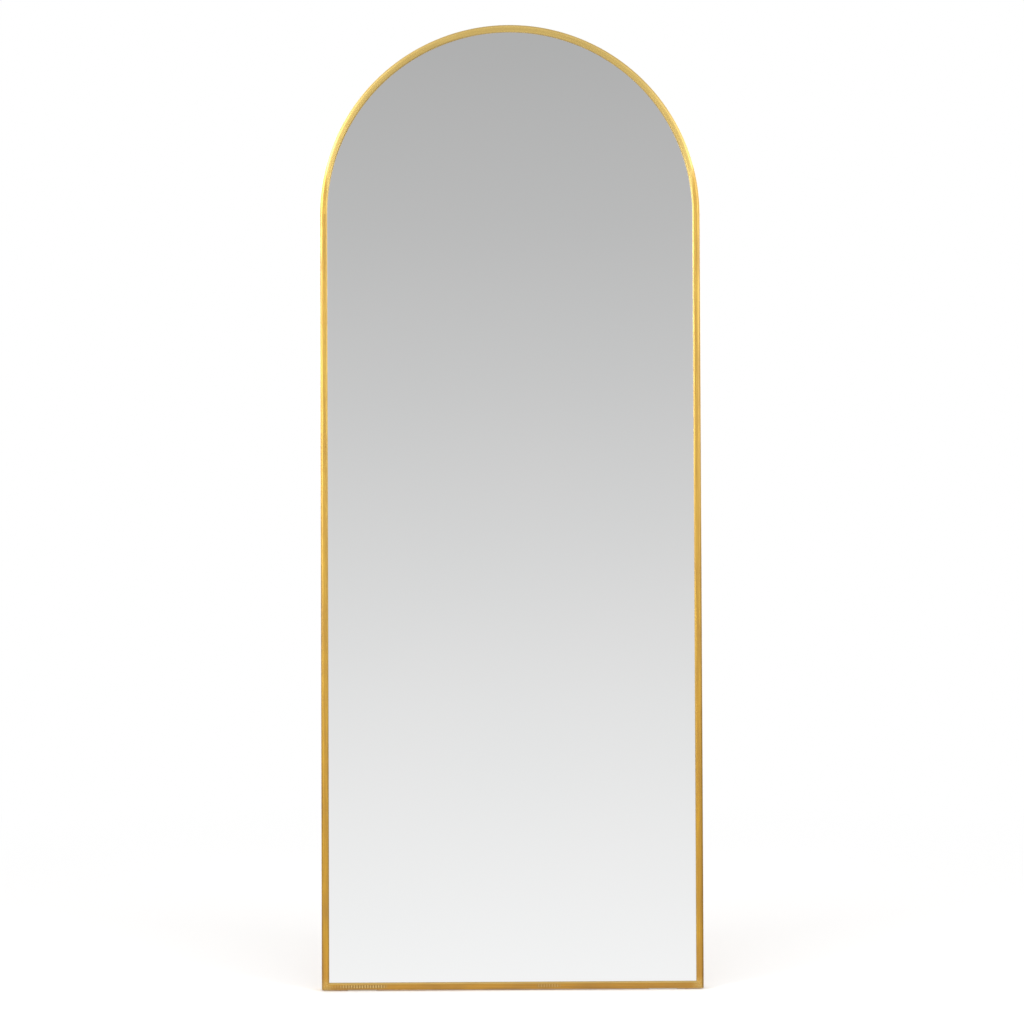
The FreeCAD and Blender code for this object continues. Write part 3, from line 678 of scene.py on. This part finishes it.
def soft_material(name, dark, light, grain, relief, **constants):
    """Rubber, foam, felt or moulded plastic: two close tones over a grain so many mm wide and high."""
    material, shader, add, place = new_material(name, **constants)
    cells = add("ShaderNodeTexNoise", (place, 1 / (grain * MM), 4.0, 0.65))
    raised = add("ShaderNodeMapRange", (cells, 0.35, 0.65), **EASED)
    tone = add("ShaderNodeMix", (raised, rgba(linear(dark)), rgba(linear(light))), **COLOURS)
    raised = add("ShaderNodeBump", {"Height": cells, "Distance": relief * MM})
    fill(shader, {"Base Color": tone, "Normal": raised})
    return material


# ---- Pieces


class MIRROR_OT_frame(bpy.types.Operator):
    """Sweeps the arch, wears the joints of the stiles and the rail, and brushes all four in brass"""

    bl_idname = "mirror.make_frame"
    bl_label = "Brass frame"

    def execute(self, context):
        sizes = context.scene.mirror_frame
        brass = brushed_brass(sizes)
        leg = sizes.face_width - sizes.lip_width
        depth = REAR - FRONT
        section = [
            (-leg, sizes.lip_thickness, 0),
            (-sizes.face_width, sizes.lip_thickness, 0),
            (-sizes.face_width, 0, sizes.inner_rounding),
            (0, 0, sizes.outer_rounding),
            (0, depth, sizes.rear_rounding),
            (-leg, depth, sizes.rear_rounding),
        ]
        outline = rounded(section, sizes.corner_steps)
        path = arc((0, SPRING), HALF_WIDTH, 0, 180, sizes.arch_steps)
        arch = sweep("arch", outline, path, False, (0, FRONT, 0), brass)
        settle(arch, "brass_frame", "frame_arch")
        for node, along in (("stile_left", 2), ("stile_right", 2), ("bottom_rail", 0)):
            member = softened(node, sizes.seam_bevel, brass)
            add_brush_map(member, along)
            settle(member, "brass_frame", node)
        return {"FINISHED"}


class MIRROR_OT_glass(bpy.types.Operator):
    """Cuts the silvered pane with its seamed edges, and beds it on foam tape and blocks"""

    bl_idname = "mirror.make_glass"
    bl_label = "Glass"

    arris: length("Arris", "Seamed edge of the glass", 0.0004)

    def execute(self, context):
        sizes = context.scene.mirror_frame
        steps = sizes.arch_steps
        half, foot = GLASS[1].x, GLASS[0].z
        loops = []
        for y, inset in (
            (GLASS[0].y, self.arris),
            (GLASS[0].y + self.arris, 0),
            (GLASS[1].y - self.arris, 0),
            (GLASS[1].y, self.arris),
        ):
            edge = half - inset
            corners = [Vector((-edge, foot + inset)), Vector((edge, foot + inset))]
            loops.append([(x, y, z) for x, z in corners + arc((0, SPRING), edge, 0, 180, steps)])
        count = len(loops[0])
        points = [point for loop in loops for point in loop]
        faces = [list(range(count)), list(range(3 * count, 4 * count))]
        for ring in range(0, 3 * count, count):
            for i in range(count):
                j = (i + 1) % count
                faces.append([ring + i, ring + j, ring + count + j, ring + count + i])
        pane = bake(new_object("silvered_pane", points, [], faces))
        # The sanded edge is dull sea green, from the iron in the glass. The paint behind the silver is grey
        # and matt, with a faint orange peel.
        glassy = {"Roughness": 0.35, "IOR": 1.52}
        sanded = grained("seamed_glass_edge", "#4F7A6C", "#7FA597", grain=0.8, relief=0.03, **glassy)
        paint = grained("mirror_backing_paint", "#7C8083", "#868A8D", grain=3, relief=0.02, Roughness=0.55)
        for material in (silvering(), sanded, paint):
            pane.data.materials.append(material)
        facing = 0.9
        for face in pane.data.polygons:
            face.material_index = 0 if face.normal.y < -facing else 2 if face.normal.y > facing else 1
        settle(pane, "silvered_glass", "mirror_pane")

        foam = soft_material("closed_cell_foam", "#17181A", "#2A2B2D", grain=0.9, relief=0.12, Roughness=0.9)
        leg = sizes.face_width - sizes.lip_width
        edge = HALF_WIDTH - leg - sizes.tape_gap
        low = FOOT + leg + sizes.tape_gap
        path = [Vector((-edge, low)), Vector((edge, low))] + arc((0, SPRING), edge, 0, 180, steps)
        thick = TAPE[1].y - TAPE[0].y
        outline = [(0, 0), (0, thick), (-sizes.tape_width, thick), (-sizes.tape_width, 0)]
        tape = sweep("lip_foam", outline, path, True, (0, TAPE[0].y, 0), foam)
        settle(tape, "foam_tape", "lip_tape")
        dress(foam, "bond_tape")
        matt = {"grain": 1.2, "relief": 0.04, "Roughness": 0.5}
        block = soft_material("moulded_plastic_block", "#1B1C1E", "#232427", **matt)
        dress(block, "setting_blocks")
        return {"FINISHED"}


class MIRROR_OT_back(bpy.types.Operator):
    """Gives the board its fibres, presses the clips and drives the screws"""

    bl_idname = "mirror.make_back"
    bl_label = "Board, clips and screws"

    seed: IntProperty(name="Seed", description="Seed of the turn that each screw ends at", default=4)

    def make_screw(self, sizes, reach):
        """A pan-head screw with a cross recess, its head's top at the origin and its point towards -Y."""
        top, rim, shank = sizes.head_top, sizes.head_radius, sizes.shank_radius
        # The head's radius at each share of its height, from the top of its dome down to its seat.
        head = [(0, 0), (top * 0.55, 0.05), (top * 0.85, 0.17), (top, 0.34), (rim, 0.9), (rim * 0.98, 1)]
        profile = [(radius, -sizes.head_height * share) for radius, share in head]
        profile += [(shank, -sizes.head_height), (shank, sizes.point_length - reach), (0, -reach)]
        screw = turned("screw_model", profile, steps=24)

        # Each arm of the recess narrows downwards. The tool that cuts it stands half a millimetre proud.
        half, wide = sizes.recess_length / 2, sizes.recess_width / 2
        levels = [(half * 0.55, -sizes.recess_depth, wide * 0.6), (half, 0.5 * MM, wide)]
        signs = ((-1, -1), (1, -1), (1, 1), (-1, 1))
        points = [(sx * a, b, sz * c) for a, b, c in levels for sx, sz in signs]
        faces = [(0, 1, 2, 3), (4, 5, 6, 7)] + [(i, (i + 1) % 4, 4 + (i + 1) % 4, 4 + i) for i in range(4)]
        for turn in (0, math.pi / 2):
            tool = bake(new_object("recess_tool", points, [], faces))
            tool.data.transform(Matrix.Rotation(turn, 4, "Y"))
            bite = screw.modifiers.new("recess", "BOOLEAN")
            bite.object = tool
            bite.operation = "DIFFERENCE"
            bite.solver = "EXACT"
            bake(screw)
            bpy.data.objects.remove(tool)
        return screw

    def execute(self, context):
        sizes = context.scene.mirror_back
        dress(raw_fibreboard(sizes), "backing_board")
        zinc = plated_steel("zinc_plated_strip", sizes.zinc_tone, "#A9ADB3", roughness=0.26, spread=0.16)
        for node in ("clips_left", "clips_right", "clips_arch", "clips_bottom"):
            settle(softened(node, sizes.edge_bevel, zinc), "zinc_clip", node)
        bright = plated_steel("zinc_plated_screw", sizes.zinc_tone, "#AEB2B6", roughness=0.2, spread=0.12)
        clip_screws = ("clip_screws_left", "clip_screws_right", "clip_screws_arch", "clip_screws_bottom")
        hanger_screws = ("hanger_screws_left", "hanger_screws_right")
        for name, nodes in (("clip_screw_heads", clip_screws), ("hanger_screw_heads", hanger_screws)):
            boxes = [box for node in nodes for box in separate_solids(node)]
            places = [((low.x + high.x) / 2, high.y, (low.z + high.z) / 2) for low, high in boxes]
            low, high = boxes[0]
            model = self.make_screw(sizes, high.y - low.y)
            screws = copies(name, places, model, math.pi / 2, self.seed, bright)
            settle(screws, "zinc_screw", *nodes)
        return {"FINISHED"}


class MIRROR_OT_hangers(bpy.types.Operator):
    """Presses the two straps and bends the two rings that the mirror can hang by"""

    bl_idname = "mirror.make_hangers"
    bl_label = "Hangers"

    def execute(self, context):
        sizes = context.scene.mirror_back
        worn = {"roughness": 0.16, "spread": 0.14}
        nickel = plated_steel("nickel_plated_steel", sizes.nickel_tone, "#A89F92", **worn)
        wide, corner, leg, wire = sizes.ring_half_width, sizes.ring_corner, sizes.ring_leg, sizes.wire_radius
        for side in ("left", "right"):
            strap = softened(f"hanger_plate_{side}", sizes.edge_bevel, nickel)
            settle(strap, "nickel_hanger", f"hanger_plate_{side}")
            low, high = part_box(f"hanger_ring_{side}")
            middle = (low + high) / 2
            axis = high.z - wire
            low_end = -corner - leg
            bow = arc((0, low_end), wide, 180, 360, steps=32)
            corners = [(wide, low_end, 0), (wide, 0, corner), (-wide, 0, corner), (-wide, low_end, 0)]
            bar = rounded(corners, steps=8)
            path = [Vector((middle.x, axis)) + point for point in bow + bar[1:-1]]
            outline = arc((0, 0), wire, 0, 360, steps=20)[:-1]
            ring = sweep(f"hanging_ring_{side}", outline, path, True, (0, middle.y, 0), nickel)
            settle(ring, "nickel_hanger", f"hanger_ring_{side}", body=f"ring_{side}")
        return {"FINISHED"}


class MIRROR_OT_rests(bpy.types.Operator):
    """Moulds the rubber bumpers against the wall and cuts the felt pads under the rail"""

    bl_idname = "mirror.make_rests"
    bl_label = "Bumpers and pads"

    felt_bevel: length("Felt edge", "Soft edge of a felt pad", 0.0004)
    draft: length("Bumper draft", "How much a bumper narrows towards the wall", 0.0005)
    dimple_radius: length("Dimple", "Radius of the dimple in a bumper's face", 0.0012)
    dimple_depth: length("Dimple depth", "Depth of the dimple in a bumper's face", 0.0003)

    def execute(self, context):
        sizes = context.scene.mirror_back
        matt = {"grain": 1.6, "relief": 0.03, "Roughness": 0.62}
        rubber = soft_material("moulded_black_rubber", "#19191A", "#262628", **matt)
        nodes = ("bumpers_upper", "bumpers_lower")
        boxes = [box for node in nodes for box in separate_solids(node)]
        low, high = boxes[0]
        foot, tall, rim = (high.x - low.x) / 2, high.y - low.y, sizes.bumper_rounding
        top = foot - self.draft
        profile = [(0, 0), (foot, 0), (top, tall - rim)]
        profile += [(top - rim + x, tall - rim + y) for x, y in arc((0, 0), rim, 0, 90, steps=5)[1:]]
        # A moulded dimple in the middle, a little narrower at its floor.
        sunk = tall - self.dimple_depth
        profile += [(self.dimple_radius, tall), (self.dimple_radius - self.dimple_depth, sunk), (0, sunk)]
        places = [((low.x + high.x) / 2, low.y, (low.z + high.z) / 2) for low, high in boxes]
        model = turned("bumper_model", profile, steps=40)
        bumpers = copies("wall_bumpers", places, model, most_turn=0.0, seed=0, material=rubber)
        settle(bumpers, "bumper_rubber", *nodes)
        nap = {"grain": 0.7, "relief": 0.25, "Roughness": 0.95, "Sheen_Weight": 0.4, "Sheen_Roughness": 0.5}
        felt = soft_material("pressed_wool_felt", "#9E968A", "#B9B1A4", **nap)
        settle(softened("floor_pads", self.felt_bevel, felt), "pad_felt", "floor_pads")
        return {"FINISHED"}


class MIRROR_OT_stage(bpy.types.Operator):
    """Lays the floor, lights the mirror from both sides and sets the camera"""

    bl_idname = "mirror.make_stage"
    bl_label = "Stage"

    def make_floor(self, stage):
        """A pale floor that fades to white where the camera sees it far off. Metal doesn't reflect it."""
        half = stage.floor_size / 2
        corners = [(-half, -half, 0), (half, -half, 0), (half, half, 0), (-half, half, 0)]
        floor = new_object("floor", corners, [], [(0, 1, 2, 3)])
        matt = {"Base_Color": rgba(stage.floor_tone), "Roughness": 0.9, "Specular_IOR_Level": 0.0}
        material, shader, add, place = new_material("pale_studio_floor", **matt)
        from_middle = add("ShaderNodeVectorMath", (place,), operation="LENGTH")
        seen = add("ShaderNodeLightPath").outputs["Is Camera Ray"]
        fade = limited(add, seen, (from_middle, stage.fade_start, stage.fade_end))
        white = add("ShaderNodeEmission", (WHITE, 1.0))
        faded = add("ShaderNodeMixShader", (fade, shader, white))
        fill(material.node_tree.nodes["Material Output"], {"Surface": faded})
        floor.data.materials.append(material)
        floor.visible_glossy = False

    def make_world(self):
        """White to the camera and to plain surfaces. The mirror and the brass reflect a studio: a pale wall
        that darkens upwards, and a tall soft light on each side."""
        world = bpy.data.worlds.new("soft_studio")
        bpy.context.scene.world = world
        world.use_nodes = True
        world.node_tree.nodes.clear()
        add = partial(add_node, world.node_tree)
        way = add("ShaderNodeTexCoord").outputs["Generated"]
        x, _, z = add("ShaderNodeSeparateXYZ", (way,)).outputs
        away = add("ShaderNodeMath", (x,), operation="ABSOLUTE")

        # The radiance ahead and beside, as a ramp of greys over the height.
        radiance = []
        for stops in (AHEAD, BESIDE):
            height = add("ShaderNodeMath", (z, 0.5, 0.5), operation="MULTIPLY_ADD")
            greys = add("ShaderNodeValToRGB", (height,))
            bands = greys.color_ramp.elements
            while len(bands) < len(stops):
                bands.new(0.5)
            for band, (where, light) in zip(bands, stops):
                band.position = where / 2 + 0.5
                band.color = rgba([light / BRIGHTEST] * 3)
            radiance.append(add("ShaderNodeMath", (greys, BRIGHTEST), operation="MULTIPLY"))
        ahead, side = radiance

        # The side lights are dimmer on the right and straight out to the sides, and a little warm.
        side = limited(add, side, (x, -0.6, 0.6, 1.0, 0.77), (away, 0.86, 0.99, 1.0, 0.35))
        warm = [add("ShaderNodeMath", (side, power), operation="POWER") for power in (1.0, 1.05, 1.12)]
        soft = add("ShaderNodeCombineColor", warm)

        # Each has a core above eye level, far brighter on the left, which draws the highlights of the brass.
        core = add("ShaderNodeMapRange", (x, -0.5, 0.5, 3.6, 0.7), **EASED)
        core = limited(add, core, (away, 0.38, 0.55), (away, 0.88, 0.72), (z, 0.04, 0.16), (z, 0.55, 0.3))
        core = add("ShaderNodeCombineColor", (core, core, core))
        lamps = add("ShaderNodeMix", (1.0, soft, core), blend_type="ADD", **COLOURS)

        front = add("ShaderNodeCombineColor", (ahead, ahead, ahead))
        beside = add("ShaderNodeMapRange", (away, 0.12, 0.38), **EASED)
        studio = add("ShaderNodeMix", (beside, front, lamps), **COLOURS)
        rays = add("ShaderNodeLightPath").outputs
        tone = add("ShaderNodeMix", (rays["Is Glossy Ray"], WHITE, studio), **COLOURS)
        tone = add("ShaderNodeMix", (rays["Is Camera Ray"], tone, WHITE), **COLOURS)
        sky = add("ShaderNodeBackground", (tone, 1.0))
        add("ShaderNodeOutputWorld", {"Surface": sky})

    def make_softboxes(self, stage):
        for side, name in ((-1, "softbox_left"), (1, "softbox_right")):
            light = bpy.data.lights.new(name, "AREA")
            light.shape = "RECTANGLE"
            light.size, light.size_y = stage.softbox_width, stage.softbox_height
            light.energy = stage.softbox_power
            lamp = bpy.data.objects.new(name, light)
            bpy.context.scene.collection.objects.link(lamp)
            spot = Vector(stage.softbox_place)
            spot.x *= side
            aim = (Vector(stage.softbox_aim) - spot).to_track_quat("-Z", "Y").to_matrix().to_4x4()
            lamp.matrix_world = Matrix.Translation(spot) @ aim
            lamp.visible_glossy = False

    def make_camera(self, stage):
        lens = bpy.data.cameras.new("camera")
        lens.sensor_width = stage.sensor
        lens.lens = stage.lens
        lens.clip_end = stage.camera_reach
        camera = bpy.data.objects.new("camera", lens)
        bpy.context.scene.collection.objects.link(camera)
        pitch, roll, turn = stage.camera_turn
        aim = Matrix.Rotation(turn, 4, "Z") @ Matrix.Rotation(roll, 4, "Y") @ Matrix.Rotation(pitch, 4, "X")
        level = Matrix.Rotation(math.pi / 2, 4, "X")
        camera.matrix_world = Matrix.Translation(stage.camera_place) @ aim @ level
        bpy.context.scene.camera = camera

    def execute(self, context):
        stage = context.scene.mirror_stage
        self.make_floor(stage)
        self.make_world()
        self.make_softboxes(stage)
        self.make_camera(stage)
        context.scene.view_settings.view_transform = "Standard"
        return {"FINISHED"}


OPERATORS = (
    MIRROR_OT_stage,
    MIRROR_OT_frame,
    MIRROR_OT_glass,
    MIRROR_OT_back,
    MIRROR_OT_hangers,
    MIRROR_OT_rests,
)


class MIRROR_PT_pieces(bpy.types.Panel):
    """The pieces of the mirror, one button each, with their sizes and tones"""

    bl_label = "Arched floor mirror"
    bl_idname = "MIRROR_PT_pieces"
    bl_space_type = "VIEW_3D"
    bl_region_type = "UI"
    bl_category = "Mirror"

    def draw(self, context):
        layout = self.layout
        for operator in OPERATORS:
            layout.operator(operator.bl_idname)
        for group in (context.scene.mirror_frame, context.scene.mirror_back, context.scene.mirror_stage):
            column = layout.column(align=True)
            for name in group.__annotations__:
                column.prop(group, name)


GROUPS = {"mirror_frame": MIRROR_PG_frame, "mirror_back": MIRROR_PG_back, "mirror_stage": MIRROR_PG_stage}


def register():
    for kind in (*GROUPS.values(), *OPERATORS, MIRROR_PT_pieces):
        bpy.utils.register_class(kind)
    for name, kind in GROUPS.items():
        setattr(bpy.types.Scene, name, PointerProperty(type=kind))


def unregister():
    for name in GROUPS:
        delattr(bpy.types.Scene, name)
    for kind in (MIRROR_PT_pieces, *reversed(OPERATORS), *reversed(GROUPS.values())):
        bpy.utils.unregister_class(kind)


def main():
    register()
    for operator in OPERATORS:
        category, name = operator.bl_idname.split(".")
        getattr(getattr(bpy.ops, category), name)()


if __name__ == "__main__":
    main()
